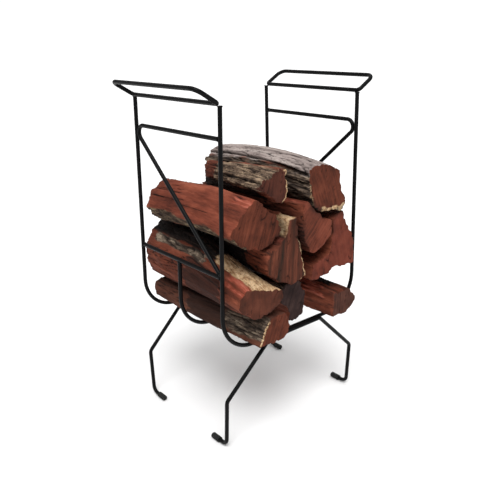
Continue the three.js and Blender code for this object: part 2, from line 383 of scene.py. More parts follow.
@dataclass(frozen=True)
class WoodFinish:
    """The skin of one log, from dark to light for each kind of wood that the masks tell apart, and for the
    painted deep shade, which is shade and not a kind of wood.
    """

    name: str
    split: tuple[Colour, Colour, Colour] = ((56, 28, 20), (98, 50, 36), (132, 72, 53))
    sawn: tuple[Colour, Colour, Colour] = ((54, 28, 20), (94, 48, 34), (120, 65, 47))
    bark: tuple[Colour, Colour, Colour] = ((34, 28, 24), (94, 80, 69), (174, 156, 134))
    weathered: tuple[Colour, Colour, Colour] = ((30, 25, 22), (94, 80, 70), (160, 140, 118))
    sapwood: tuple[Colour, Colour, Colour] = ((128, 92, 64), (190, 156, 118), (222, 196, 160))
    # Near-black colours of the painted deep shade.
    painted_deep_shade: tuple[Colour, Colour, Colour] = ((14, 11, 10), (32, 24, 21), (66, 46, 38))
    streak_turn: float = 20.0
    streak_pull: float = 1.0
    streak_scale: float = 190.0
    split_smudges: float = 0.58
    bark_run: float = 0.3
    bark_specks: float = 0.75

    def _split(self, board: Board, along: Socket, grain: Socket) -> Socket:
        """Colour of a split face: broad tones, long streaks, pink strips of painted highlight and short
        dark flecks.

        Args:
            board: The material's board.
            along: Coordinates that are stretched along the fibres.
            grain: The log's own coordinates.

        Returns:
            The colour.
        """
        broad = board.noise(board.stretched(grain, (1, 0.3, 1)), 24, 4, 0.6)
        strokes = board.noise(board.stretched(grain, (1, 0.14, 1)), 120, 4, 0.68)
        hairs = board.noise(along, 700, 2)
        tone = broad * 0.58 + strokes * 0.3 + hairs * 0.12
        dark, middle, light = self.split
        colour = board.ramp(tone, [(0.38, dark), (0.5, middle), (0.62, light)])
        # Painted highlight: lighter pink strips where the highlight patches lie.
        painted_highlight = board.ramp(strokes, [(0.36, middle), (0.5, HIGHLIGHT_RED), (0.64, HIGHLIGHT_PINK)])
        colour = board.blend(board.attribute("painted_highlight"), colour, painted_highlight)
        smudges = board.noise(board.stretched(grain, (1, 0.22, 1)), 60, 5, 0.75).between(0.54, 0.7)
        return board.darkened(colour, smudges, self.split_smudges)

    def _sawn(self, board: Board, across: Socket, grain: Socket) -> Socket:
        """Colour of a sawn end: streaks that the saw dragged over it.

        Args:
            board: The material's board.
            across: Coordinates that are stretched along the saw's way.
            grain: The log's own coordinates.

        Returns:
            The colour.
        """
        broad = board.noise(grain, 34, 3)
        streaks = board.noise(across, self.streak_scale, 5, 0.66)
        tone = broad * (1 - 0.55 * self.streak_pull) + streaks * (0.55 * self.streak_pull)
        dark, middle, light = self.sawn
        colour = board.ramp(tone, [(0.32, dark), (0.52, middle), (0.7, light)])
        lines = board.noise(across, 420, 2).between(0.6, 0.7)
        return board.darkened(colour, lines, 0.3 * self.streak_pull)

    def _bark(self, board: Board, grain: Socket) -> Socket:
        """Colour of bark: grey plates with browner and lighter patches.

        Args:
            board: The material's board.
            grain: The log's own coordinates.

        Returns:
            The colour.
        """
        plates = board.noise(board.stretched(grain, (1, self.bark_run, 1)), 90, 5, 0.62)
        dark, middle, light = self.bark
        colour = board.ramp(plates, [(0.32, dark), (0.5, middle), (0.7, light)])
        specks = board.noise(grain, 520, 3, 0.7).between(0.58, 0.7)
        return board.darkened(colour, specks, self.bark_specks)

    def _weathered(self, board: Board, along: Socket) -> Socket:
        """Colour of weathered fibre: grey-brown and golden threads.

        Args:
            board: The material's board.
            along: Coordinates that are stretched along the fibres.

        Returns:
            The colour.
        """
        threads = board.noise(along, 300, 5, 0.7)
        dark, middle, light = self.weathered
        return board.ramp(threads, [(0.34, dark), (0.5, middle), (0.7, light)])

    def _painted_deep_shade(self, board: Board, along: Socket) -> Socket:
        """Colour of painted deep shade: near black, with brown threads.

        Args:
            board: The material's board.
            along: Coordinates that are stretched along the fibres.

        Returns:
            The colour.
        """
        threads = board.noise(along, 160, 5, 0.7)
        dark, middle, light = self.painted_deep_shade
        return board.ramp(threads, [(0.38, dark), (0.54, middle), (0.72, light)])

    def _sapwood(self, board: Board, grain: Socket) -> Socket:
        """Colour of sapwood: cream with brown specks.

        Args:
            board: The material's board.
            grain: The log's own coordinates.

        Returns:
            The colour.
        """
        tone = board.noise(board.stretched(grain, (1, 0.5, 1)), 160, 4, 0.65)
        dark, middle, light = self.sapwood
        colour = board.ramp(tone, [(0.3, dark), (0.48, middle), (0.7, light)])
        specks = 1 - board.cells(board.stretched(grain, (1, 0.7, 1)), 260).between(0.16, 0.3)
        return board.darkened(colour, specks, 0.65)

    def material(self) -> bpy.types.Material:
        """Build the material."""
        board = Board(self.name)
        grain = board.node("ShaderNodeAttribute", {"attribute_name": "grain"}).outputs["Vector"]
        along = board.stretched(grain, (1, 0.06, 1))
        across = board.stretched(grain, (1, 1, 0.07), (0, self.streak_turn, 0))
        sawn = board.attribute("sawn")
        bark = board.attribute("bark")
        sapwood = board.attribute("sapwood")
        weathered = board.attribute("weathered")
        painted_crack_shade = board.attribute("painted_crack_shade")
        colour = self._split(board, along, grain)
        colour = board.blend(weathered, colour, self._weathered(board, along))
        colour = board.blend(bark, colour, self._bark(board, grain))
        # Painted deep shade on the hidden backs and undersides of logs.
        colour = board.blend(board.attribute("painted_deep_shade"), colour, self._painted_deep_shade(board, along))
        colour = board.blend(sawn, colour, self._sawn(board, across, grain))
        colour = board.blend(sapwood, colour, self._sapwood(board, grain))
        # Painted shade: darkened stretches on the backs and sides of logs that others shade.
        colour = board.darkened(colour, board.attribute("painted_shade_patch"), 0.7)
        # Painted shade: near black in furrows, cracks, checks and the gaps between sapwood blocks.
        colour = board.darkened(colour, painted_crack_shade, 0.94)
        # Painted shade: darker where the log lies close to another log.
        colour = board.darkened(colour, board.attribute("painted_gap_shade"), 0.78)
        fibres = board.noise(along, 700, 3, 0.6)
        saw_marks = board.noise(across, 800, 2)
        grit = board.noise(grain, 650, 4, 0.7)
        rough_skin = bark.largest(sapwood)
        height = fibres * (1 - sawn) * (1 - rough_skin) + saw_marks * sawn * 0.5 + grit * rough_skin
        roughness = 0.72 + grit * 0.22
        board.finish(colour, roughness, height, 0.0009, Specular_IOR_Level=0.12)
        return board.material


@dataclass(frozen=True)
class FloorFinish:
    """Plain pale floor."""

    name: str = "pale_floor"
    tone: Colour = (244, 244, 244)

    def material(self) -> bpy.types.Material:
        """Build the material."""
        board = Board(self.name)
        place = board.node("ShaderNodeTexCoord").outputs["Object"]
        board.finish(from_screen(self.tone), 0.9, board.noise(place, 30, 2), 0.0001, Specular_IOR_Level=0.1)
        return board.material


# ---------------------------------------------------------------- modelling bench


class Bench:
    """Small steps of modelling with Blender's own tools."""

    @staticmethod
    def clear() -> None:
        """Deselect everything."""
        bpy.ops.object.select_all(action="DESELECT")

    @staticmethod
    def pick(obj: bpy.types.Object) -> None:
        """Select one object alone and make it the active one."""
        Bench.clear()
        obj.select_set(True)
        bpy.context.view_layer.objects.active = obj

    @staticmethod
    def edit_all() -> None:
        """Go to edit mode with the whole mesh selected."""
        bpy.ops.object.mode_set(mode="EDIT")
        bpy.ops.mesh.select_all(action="SELECT")

    @staticmethod
    def clean(name: str, smooth_below: float) -> bpy.types.Object:
        """End an edit: merge doubles, turn the faces outward, shade and name the active object.

        Args:
            name: The piece's name.
            smooth_below: Edges with a smaller turn than this, in degrees, are shaded smooth.

        Returns:
            The object, with its place in its mesh.
        """
        bpy.ops.mesh.select_all(action="SELECT")
        bpy.ops.mesh.remove_doubles(threshold=MERGE)
        bpy.ops.mesh.normals_make_consistent(inside=False)
        bpy.ops.object.mode_set(mode="OBJECT")
        made = bpy.context.active_object
        Bench.pick(made)
        bpy.ops.object.transform_apply(location=True, rotation=True, scale=True)
        bpy.ops.object.shade_smooth_by_angle(angle=math.radians(smooth_below))
        made.name = name
        made.data.name = name
        return made

    @staticmethod
    def modify(obj: bpy.types.Object, kind: str, **settings: object) -> None:
        """Add a modifier and apply it.

        Args:
            obj: The object.
            kind: The modifier's type.
            **settings: Its settings.
        """
        Bench.pick(obj)
        made = obj.modifiers.new(kind.lower(), kind)
        for name, value in settings.items():
            setattr(made, name, value)
        bpy.ops.object.modifier_apply(modifier=made.name)

    @staticmethod
    def dress(obj: bpy.types.Object, material: bpy.types.Material, slot: str, nodes: list[str]) -> None:
        """Give a finished piece its material and its body, and hide the CAD nodes that it stands for.

        Args:
            obj: The piece.
            material: Its material.
            slot: The name of a material slot; not used.
            nodes: Names of the CAD nodes that it replaces.
        """
        obj.data.materials.clear()
        obj.data.materials.append(material)
        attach(obj, BODY)
        if nodes:
            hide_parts(*nodes)
        REPORT.info("%s: %d faces", obj.name, len(obj.data.polygons))


# ---------------------------------------------------------------- rack

ALONG_Y = Vector((0, 1, 0))
ALONG_Z = Vector((0, 0, 1))
SMOOTH_BELOW = 35
SMOOTH_BEAD = 60


@dataclass(frozen=True)
class Corner:
    """A corner on a rod's way: where its straight runs would meet, and the radius of the bend there."""

    place: Vector
    radius: float = 0.0


@dataclass
class Rod:
    """A round rod along straight runs and bends."""

    name: str
    corners: list[Corner]
    radius: float
    closed: bool = False
    sides: int = 24
    bend_step: float = math.radians(6)

    def _bend(self, index: int) -> tuple[Vector, Vector, Vector, Vector, float]:
        """Work out the bend at a corner.

        Args:
            index: Number of the corner.

        Returns:
            The bend's start, end, centre and axis, and its turn in radians.
        """
        count = len(self.corners)
        here = self.corners[index % count]
        back = (self.corners[(index - 1) % count].place - here.place).normalized()
        ahead = (self.corners[(index + 1) % count].place - here.place).normalized()
        half = back.angle(ahead) / 2
        reach = here.radius / math.tan(half)
        centre = here.place + (back + ahead).normalized() * (here.radius / math.sin(half))
        axis = back.cross(ahead).normalized()
        return here.place + back * reach, here.place + ahead * reach, centre, axis, math.pi - 2 * half

    def build(self) -> bpy.types.Object:
        """Extrude and spin a circle along the way.

        Returns:
            The finished rod.
        """
        count = len(self.corners)
        if self.closed:
            turns = [self._bend(index) for index in range(count)]
            start = (turns[-1][1] + turns[0][0]) / 2
            stop = start
        else:
            turns = [self._bend(index) for index in range(1, count - 1)]
            start = self.corners[0].place
            stop = self.corners[-1].place
        first = (turns[0][0] if turns else stop) - start
        Bench.clear()
        facing = first.to_track_quat("Z", "Y").to_euler()
        sizes = {"vertices": self.sides, "radius": self.radius}
        bpy.ops.mesh.primitive_circle_add(location=start, rotation=facing, **sizes)
        Bench.edit_all()
        here = start
        for begin, end, centre, axis, turn in turns:
            self._straight(begin - here)
            steps = max(3, math.ceil(turn / self.bend_step))
            bpy.ops.mesh.spin(steps=steps, angle=turn, center=centre, axis=axis)
            here = end
        self._straight(stop - here)
        bpy.ops.mesh.select_all(action="SELECT")
        bpy.ops.mesh.remove_doubles(threshold=MERGE)
        if not self.closed:
            bpy.ops.mesh.fill_holes(sides=0)
        return Bench.clean(self.name, SMOOTH_BELOW)

    @staticmethod
    def _straight(move: Vector) -> None:
        """Extrude the selected ring along a straight run."""
        bpy.ops.mesh.extrude_region_move(TRANSFORM_OT_translate={"value": move})


@dataclass
class Welds:
    """The welds of one part of the rack: uneven rings and lumps, joined into one piece."""

    name: str
    seed: int
    made: list[bpy.types.Object] = field(default_factory=list)

    def ring(self, place: Vector, along: Vector, radius: float, thickness: float) -> None:
        """Add a bead round the end of a rod.

        Args:
            place: Centre of the bead.
            along: Direction of the rod.
            radius: From the rod's axis to the middle of the bead.
            thickness: Radius of the bead itself.
        """
        Bench.clear()
        facing = along.to_track_quat("Z", "Y").to_euler()
        radii = {"major_radius": radius, "minor_radius": thickness}
        bpy.ops.mesh.primitive_torus_add(
            location=place, rotation=facing, major_segments=28, minor_segments=10, **radii,
        )
        self._unevenly(thickness)

    def lump(self, place: Vector, size: Vector) -> None:
        """Add a lump of weld between two rods.

        Args:
            place: Centre of the lump.
            size: Its half sizes.
        """
        Bench.clear()
        bpy.ops.mesh.primitive_uv_sphere_add(
            segments=24, ring_count=14, radius=1, location=place, scale=size,
        )
        self._unevenly(min(size))

    def _unevenly(self, size: float) -> None:
        """Move the points of the new bead about a little.

        Args:
            size: The bead's smallest radius.
        """
        Bench.edit_all()
        seed = self.seed + len(self.made)
        bpy.ops.transform.vertex_random(offset=0.25 * size, uniform=0.0, normal=0.6, seed=seed)
        bpy.ops.mesh.vertices_smooth(factor=0.5, repeat=1)
        self.made.append(Bench.clean(f"{self.name}_{len(self.made)}", SMOOTH_BEAD))

    def join(self) -> bpy.types.Object:
        """Join all beads.

        Returns:
            The piece.
        """
        Bench.clear()
        for bead in self.made:
            bead.select_set(True)
        bpy.context.view_layer.objects.active = self.made[0]
        bpy.ops.object.join()
        joined = bpy.context.active_object
        joined.name = self.name
        joined.data.name = self.name
        return joined


@dataclass
class Rack:
    """The rack of bent and welded rod. All heights and half widths are of the rods' axes."""

    rod: float = 4 * MM
    sink: float = 1 * MM
    post_y: float = 132.5 * MM
    cradle_z: float = 204.4 * MM
    cradle_half: float = 178.6 * MM
    cradle_bend: float = 70 * MM
    handle_z: float = 657.4 * MM
    post_top_half: float = 169.9 * MM
    brace_z: float = 600 * MM
    brace_bend: float = 14.2 * MM
    brace_foot_y: float = -123.5 * MM
    brace_slope: float = 0.873
    brace_foot_rise: float = 7.8 * MM
    cross_bar_z: float = 355.5 * MM
    handle_set_out: float = 3.3 * MM
    handle_reach: float = 44 * MM
    handle_rise: float = 26.2 * MM
    handle_half_length: float = 133.3 * MM
    handle_inner_bend: float = 8 * MM
    handle_outer_bend: float = 16 * MM
    leg_gap: float = 8.3 * MM
    leg_half: float = 175.4 * MM
    leg_crest_half: float = 70.3 * MM
    leg_knee_z: float = 104 * MM
    leg_lean: float = 0.05
    leg_bend: float = 12 * MM
    foot_bend: float = 14 * MM
    foot_reach: float = 41 * MM
    foot_z: float = 5.8 * MM
    bead: float = 1.1 * MM
    bead_gap: float = 0.2 * MM
    seam_half: float = 42 * MM
    seam_rise: float = 2.2 * MM
    slot: str = "black_rod"

    def half_at(self, height: float) -> float:
        """Half width of the cradle at a height: the posts lean in towards the top.

        Args:
            height: Height above the floor.

        Returns:
            Distance of a post's axis from the middle plane.
        """
        share = (height - self.cradle_z) / (self.handle_z - self.cradle_z)
        return self.cradle_half + share * (self.post_top_half - self.cradle_half)

    def leg_y(self, height: float) -> float:
        """Distance of a leg's axis from the middle plane at a height."""
        return self.post_y + self.leg_gap - self.leg_lean * (self.cradle_z - height)

    def cradle_rod(self, name: str, y: float, top: float) -> Rod:
        """A U across the rack.

        Args:
            name: The CAD node's name.
            y: Where it stands.
            top: Height of its two ends.

        Returns:
            The rod.
        """
        low = self.cradle_z
        return Rod(name, [
            Corner(Vector((-self.half_at(top), y, top))),
            Corner(Vector((-self.half_at(low), y, low)), self.cradle_bend),
            Corner(Vector((self.half_at(low), y, low)), self.cradle_bend),
            Corner(Vector((self.half_at(top), y, top))),
        ], self.rod)

    def handle_loop(self, name: str, side: int) -> Rod:
        """A closed handle loop, tilted out and up.

        Args:
            name: The CAD node's name.
            side: -1 for the left, 1 for the right.

        Returns:
            The rod.
        """
        inner = side * (self.post_top_half + self.handle_set_out)
        outer = inner + side * self.handle_reach
        half = self.handle_half_length
        top = self.handle_z + self.handle_rise
        return Rod(name, [
            Corner(Vector((inner, -half, self.handle_z)), self.handle_inner_bend),
            Corner(Vector((inner, half, self.handle_z)), self.handle_inner_bend),
            Corner(Vector((outer, half, top)), self.handle_outer_bend),
            Corner(Vector((outer, -half, top)), self.handle_outer_bend),
        ], self.rod, closed=True)

    def brace_rod(self, name: str, side: int) -> Rod:
        """The level bar and the diagonal of a side frame, one bent rod.

        Args:
            name: The CAD node's name.
            side: -1 for the left, 1 for the right.

        Returns:
            The rod.
        """
        foot_z = self.cross_bar_z + self.brace_foot_rise
        bend_y = self.brace_foot_y + (self.brace_z - foot_z) / self.brace_slope
        tip_y = self.rod - self.sink - self.post_y

        def at(y: float, z: float) -> Vector:
            """A place in the side frame."""
            return Vector((side * self.half_at(z), -side * y, z))

        return Rod(name, [
            Corner(at(tip_y, self.brace_z)),
            Corner(at(bend_y, self.brace_z), self.brace_bend),
            Corner(at(self.brace_foot_y, foot_z)),
        ], self.rod)

    def cross_bar(self, name: str, side: int) -> Rod:
        """The low straight bar of a side frame.

        Args:
            name: The CAD node's name.
            side: -1 for the left, 1 for the right.

        Returns:
            The rod.
        """
        x = side * self.half_at(self.cross_bar_z)
        reach = self.post_y - self.rod + self.sink
        ends = [Corner(Vector((x, end * reach, self.cross_bar_z))) for end in (-1, 1)]
        return Rod(name, ends, self.rod)

    def leg_rod(self, name: str, end: int) -> Rod:
        """A pair of legs from one rod.

        Args:
            name: The CAD node's name.
            end: -1 for the front, 1 for the back.

        Returns:
            The rod.
        """

        def half(side: int) -> list[Corner]:
            """List the corners of one leg, from the foot up.

            Args:
                side: -1 for the left leg, 1 for the right.

            Returns:
                The corners.
            """
            x = side * self.leg_half
            foot_y = end * (self.leg_y(self.foot_z) - self.foot_reach)
            crest_x = side * self.leg_crest_half
            return [
                Corner(Vector((x, foot_y, self.foot_z))),
                Corner(Vector((x, end * self.leg_y(self.foot_z), self.foot_z)), self.foot_bend),
                Corner(Vector((x, end * self.leg_y(self.leg_knee_z), self.leg_knee_z)), self.leg_bend),
                Corner(Vector((crest_x, end * self.leg_y(self.cradle_z), self.cradle_z)), self.leg_bend),
            ]

        return Rod(name, half(-1) + half(1)[::-1], self.rod)

    def side_welds(self, name: str, side: int) -> Welds:
        """The welds of one side frame.

        Args:
            name: The piece's name.
            side: -1 for the left, 1 for the right.

        Returns:
            The welds, not yet joined.
        """
        welds = Welds(name, 40 + side)
        bar_x = side * self.half_at(self.cross_bar_z)
        butt = self.post_y - self.rod - self.bead_gap
        for end in (-1, 1):
            welds.ring(Vector((bar_x, end * butt, self.cross_bar_z)), ALONG_Y, self.rod, self.bead)
            top = Vector((side * self.post_top_half, end * self.post_y, self.handle_z - self.rod))
            welds.ring(top, ALONG_Z, self.rod, self.bead)
        level_end = Vector((side * self.half_at(self.brace_z), side * butt, self.brace_z))
        welds.ring(level_end, ALONG_Y, self.rod, self.bead)
        welds.ring(Vector((bar_x, 0, self.cross_bar_z - self.rod)), ALONG_Z, self.rod, self.bead)
        foot = Vector((bar_x, -side * (self.brace_foot_y - 3 * MM), self.cross_bar_z + 6 * MM))
        welds.lump(foot, Vector((3.6, 4.6, 3.6)) * MM)
        return welds

    def leg_welds(self, name: str, end: int) -> Welds:
        """The welds between a pair of legs and the cradle.

        Args:
            name: The piece's name.
            end: -1 for the front, 1 for the back.

        Returns:
            The welds, not yet joined.
        """
        welds = Welds(name, 60 + end)
        seam_y = end * (self.post_y + self.leg_gap / 2)
        for x, rise in product((-self.seam_half, self.seam_half), (-self.seam_rise, self.seam_rise)):
            welds.lump(Vector((x, seam_y, self.cradle_z + rise)), Vector((10, 2.2, 1.5)) * MM)
        return welds

    def build(self) -> None:
        """Model, dress and report every rod and weld."""
        coat = RodFinish().material()
        post_top = self.handle_z - self.rod + self.sink
        rods = [
            self.cradle_rod("front_cradle_rod", -self.post_y, post_top),
            self.cradle_rod("middle_cradle_rod", 0.0, self.cross_bar_z - self.rod + self.sink),
            self.cradle_rod("back_cradle_rod", self.post_y, post_top),
            self.leg_rod("front_leg_rod", -1),
            self.leg_rod("back_leg_rod", 1),
        ]
        welds = [self.leg_welds("front_leg_welds", -1), self.leg_welds("back_leg_welds", 1)]
        for side_name, side in (("left", -1), ("right", 1)):
            rods.append(self.handle_loop(f"{side_name}_handle_loop", side))
            rods.append(self.brace_rod(f"{side_name}_brace_rod", side))
            rods.append(self.cross_bar(f"{side_name}_cross_bar", side))
            welds.append(self.side_welds(f"{side_name}_side_welds", side))
        for rod in rods:
            node = rod.name
            rod.name = f"smooth_{node}"
            Bench.dress(rod.build(), coat, self.slot, [node])
        for weld in welds:
            Bench.dress(weld.join(), coat, self.slot, [])


@dataclass
class FootTip:
    """A rubber tip on the end of a foot: a cap with a rounded closed end and a lip round its mouth."""

    node: str
    sides: int = 40
    wall: float = 1.3 * MM
    round_end: float = 1.6 * MM
    lip: float = 2.4 * MM
    groove: float = 0.5 * MM
    depth: float = 20 * MM
    slot: str = "black_rubber"

    def build(self, material: bpy.types.Material) -> None:
        """Model and dress the tip in the place of its CAD node.

        Args:
            material: The rubber.
        """
        low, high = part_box(self.node)
        centre = (low + high) / 2
        radius = centre.z - low.z
        mouth = 1 if centre.y > 0 else -1
        facing = (math.radians(-90 * mouth), 0, 0)
        Bench.clear()
        sizes = {"vertices": self.sides, "radius": radius, "depth": high.y - low.y}
        bpy.ops.mesh.primitive_cylinder_add(location=centre, rotation=facing, **sizes)
        Bench.edit_all()
        bpy.ops.mesh.select_all(action="DESELECT")
        bpy.ops.object.mode_set(mode="OBJECT")
        tip = bpy.context.active_object
        for face in tip.data.polygons:
            face.select = face.normal.z > 0.9
        bpy.ops.object.mode_set(mode="EDIT")
        bpy.ops.mesh.select_mode(type="FACE")
        bpy.ops.mesh.inset(thickness=self.wall)
        bpy.ops.mesh.extrude_region_move(TRANSFORM_OT_translate={"value": (0, -mouth * self.depth, 0)})
        bpy.ops.object.mode_set(mode="OBJECT")
        half = (high.y - low.y) / 2
        for edge in tip.data.edges:
            ends = [tip.data.vertices[index].co for index in edge.vertices]
            edge.select = all(point.z < -half + MERGE for point in ends)
        bpy.ops.object.mode_set(mode="EDIT")
        bpy.ops.mesh.select_mode(type="EDGE")
        bpy.ops.mesh.bevel(offset=self.round_end, segments=5, affect="EDGES")
        for step in (0, 1, 2):
            cut = centre + Vector((0, mouth * (half - self.lip - step * self.groove), 0))
            bpy.ops.mesh.select_all(action="SELECT")
            bpy.ops.mesh.bisect(plane_co=cut, plane_no=(0, 1, 0))
        made = Bench.clean(f"rubber_{self.node}", 40)
        outer = radius * 0.9
        for vertex in made.data.vertices:
            out = vertex.co - centre
            beside = abs(out.y * mouth - (half - self.lip - self.groove)) < MERGE
            sideways = Vector((out.x, 0, out.z))
            if beside and sideways.length > outer:
                vertex.co -= sideways.normalized() * self.groove
        Bench.dress(made, material, self.slot, [self.node])


# ---------------------------------------------------------------- logs


class Skin(Enum):
    """What a stretch of a log's side is like. Three of them are painted light: a painted deep shade, a
    darkened stretch of painted shade and a pink painted highlight.
    """

    SPLIT = "split"
    BARK = "bark"
    SAPWOOD = "sapwood"
    WEATHERED = "weathered"
    TORN = "torn"
    # Painted deep shade, where logs lie in the shade of others.
    PAINTED_DEEP_SHADE = "painted_deep_shade"
    # Painted shade on the backs and sides of logs that others shade.
    PAINTED_SHADE_PATCH = "painted_shade_patch"
    # Painted highlight: lighter pink strips on split faces.
    PAINTED_HIGHLIGHT = "painted_highlight"


PAINTED = (Skin.BARK, Skin.SAPWOOD, Skin.WEATHERED, Skin.PAINTED_DEEP_SHADE, Skin.PAINTED_SHADE_PATCH, Skin.PAINTED_HIGHLIGHT)


@dataclass(frozen=True)
class Relief:
    """One layer of the carving: waves that run along the log, or narrow furrows between plates."""

    across: float
    along: float
    depth: float
    furrow: float = 0.0
    stepped: bool = False


RELIEFS = {
    Skin.SPLIT: (
        Relief(34 * MM, 120 * MM, 4.4 * MM),
        Relief(30 * MM, 220 * MM, 3.4 * MM, stepped=True),
        Relief(14 * MM, 120 * MM, 2.0 * MM, stepped=True),
        Relief(7 * MM, 90 * MM, 1.1 * MM),
        Relief(3.2 * MM, 50 * MM, 0.6 * MM),
    ),
    Skin.BARK: (
        Relief(30 * MM, 90 * MM, 2.2 * MM),
        Relief(11 * MM, 70 * MM, 2.6 * MM, 0.1),
        Relief(5 * MM, 24 * MM, 1.0 * MM, 0.12),
        Relief(4 * MM, 8 * MM, 0.5 * MM),
    ),
    Skin.SAPWOOD: (
        Relief(14 * MM, 60 * MM, 1.2 * MM),
        Relief(3.5 * MM, 6 * MM, 0.8 * MM),
        Relief(7 * MM, 26 * MM, 1.2 * MM, 0.06),
    ),
    Skin.WEATHERED: (
        Relief(16 * MM, 150 * MM, 2.4 * MM),
        Relief(8 * MM, 120 * MM, 3.6 * MM, 0.13),
        Relief(11 * MM, 80 * MM, 3.0 * MM, stepped=True),
        Relief(3.4 * MM, 60 * MM, 1.4 * MM, 0.2),
    ),
    Skin.PAINTED_SHADE_PATCH: (
        Relief(30 * MM, 200 * MM, 3.0 * MM, stepped=True),
        Relief(12 * MM, 110 * MM, 1.6 * MM),
        Relief(4 * MM, 60 * MM, 0.8 * MM),
    ),
    Skin.PAINTED_HIGHLIGHT: (
        Relief(12 * MM, 160 * MM, 2.0 * MM, stepped=True),
        Relief(5 * MM, 90 * MM, 1.4 * MM),
    ),
    Skin.PAINTED_DEEP_SHADE: (
        Relief(18 * MM, 60 * MM, 3.4 * MM),
        Relief(7 * MM, 34 * MM, 2.6 * MM, 0.12),
        Relief(4 * MM, 12 * MM, 0.9 * MM),
    ),
    Skin.TORN: (
        Relief(20 * MM, 90 * MM, 3.0 * MM),
        Relief(7 * MM, 60 * MM, 3.6 * MM),
        Relief(8 * MM, 80 * MM, 2.4 * MM, 0.09),
    ),
}


RELIEF_SHIFT = (11.3, 5.7, 8.1)
FULL_FURROW = 1.6 * MM


class Shift(IntEnum):
    """Shifts, in metres, that keep the noise of one feature apart from that of the next."""

    FINE_DRIFT = 3
    END_WAVES = 50
    SAW_MARKS = 60
    CHECKS = 65
    CHECK_PLACES = 66
    RAGS = 70
    CHIPS = 90


@dataclass(frozen=True)
class Patch:
    """A stretch of a log's side. Angles are in degrees round the log, from its right side over its top, and
    front and back are shares of its length."""

    skin: Skin
    start: float
    end: float
    front: float = -0.2
    back: float = 1.2


@dataclass(frozen=True)
class Band:
    """A band inside the rim of a sawn end, between two angles, split into blocks of so many degrees."""

    skin: Skin
    start: float
    end: float
    width: float
    block: float = 0.0


@dataclass(frozen=True)
class Swell:
    """A hump, or with a negative height a scoop, centred on an angle and a share of the length."""

    angle: float
    share: float
    spread: float
    length: float
    height: float


@dataclass(frozen=True)
class Crack:
    """A long crack in a log's side, from one angle at its front to another at its back."""

    front_angle: float
    back_angle: float
    front: float
    back: float
    width: float
    depth: float


class Waves:
    """Seeded smooth noise, worked out for many points at once."""

    def __init__(self, seed: int) -> None:
        """Draw the tables.

        Args:
            seed: Seed of the draw.
        """
        draw = np.random.default_rng(seed)
        self.order = draw.permutation(256)
        pull = draw.normal(size=(256, 3))
        self.pull = pull / np.linalg.norm(pull, axis=1)[:, None]

    def at(self, points: np.ndarray, size: tuple[float, float, float]) -> np.ndarray:
        """Read the noise.

        Args:
            points: Places, one row each.
            size: Size of a wave along each axis.

        Returns:
            A number from about -1 to 1 for each place.
        """
        scaled = points / np.array(size)
        base = np.floor(scaled).astype(int)
        inside = scaled - base
        fade = inside ** 3 * (inside * (inside * 6 - 15) + 10)
        total = np.zeros(len(points))
        for corner in product((0, 1), repeat=3):
            cell = (base + corner) & 255
            index = self.order[(self.order[(self.order[cell[:, 0]] + cell[:, 1]) & 255] + cell[:, 2]) & 255]
            share = np.prod(np.where(corner, fade, 1 - fade), axis=1)
            total += share * np.sum(self.pull[index] * (inside - corner), axis=1)
        return total * 1.6


@dataclass
class Section:
    """The cross-sections of a CAD log: where its centre line runs, and where it starts and ends."""

    levels: np.ndarray
    centres: np.ndarray

    @classmethod
    def of(cls, points: np.ndarray) -> "Section":
        """Read the sections from the points of a lofted solid.

        Args:
            points: The solid's points.

        Returns:
            Its sections.
        """
        levels = np.unique(np.round(points[:, 1], 5))
        centres = []
        for level in levels:
            ring = points[np.abs(points[:, 1] - level) < 1e-4]
            centres.append((ring.min(axis=0) + ring.max(axis=0)) / 2)
        return cls(levels, np.array(centres))

    def straightened(self, points: np.ndarray) -> np.ndarray:
        """Places measured from the centre line, with y kept as it is.

        Args:
            points: Places in the frame.

        Returns:
            Places beside a straight centre line.
        """
        x = points[:, 0] - np.interp(points[:, 1], self.levels, self.centres[:, 0])
        z = points[:, 2] - np.interp(points[:, 1], self.levels, self.centres[:, 2])
        return np.stack([x, points[:, 1], z], axis=1)


@dataclass(frozen=True)
class EndCut:
    """How the saw left an end: its unevenness, saw marks, checks and chipped rim."""

    thickness: float = 1.3 * MM
    full_thickness: float = 0.4 * MM
    rim: float = 7 * MM
    chips: float = 3.2 * MM
    chips_reach: float = 9 * MM
    waves: float = 2.0 * MM
    saw_marks: float = 1.1 * MM
    checks: float = 2.5 * MM
    block_gap: float = 4 * MM
    fade: float = 14 * MM


@dataclass
class Survey:
    """What is known of each point of a blank before it is carved.

    own is the place beside a straight centre line. share runs from 0 at the front end to 1 at the back.
    angle goes round the log, and rim_angle and from_rim are those of the nearest place on a long side.
    """

    points: np.ndarray
    own: np.ndarray
    outward: np.ndarray
    share: np.ndarray
    angle: np.ndarray
    rim_angle: np.ndarray
    from_rim: np.ndarray
    to_end: np.ndarray
    sawn: np.ndarray


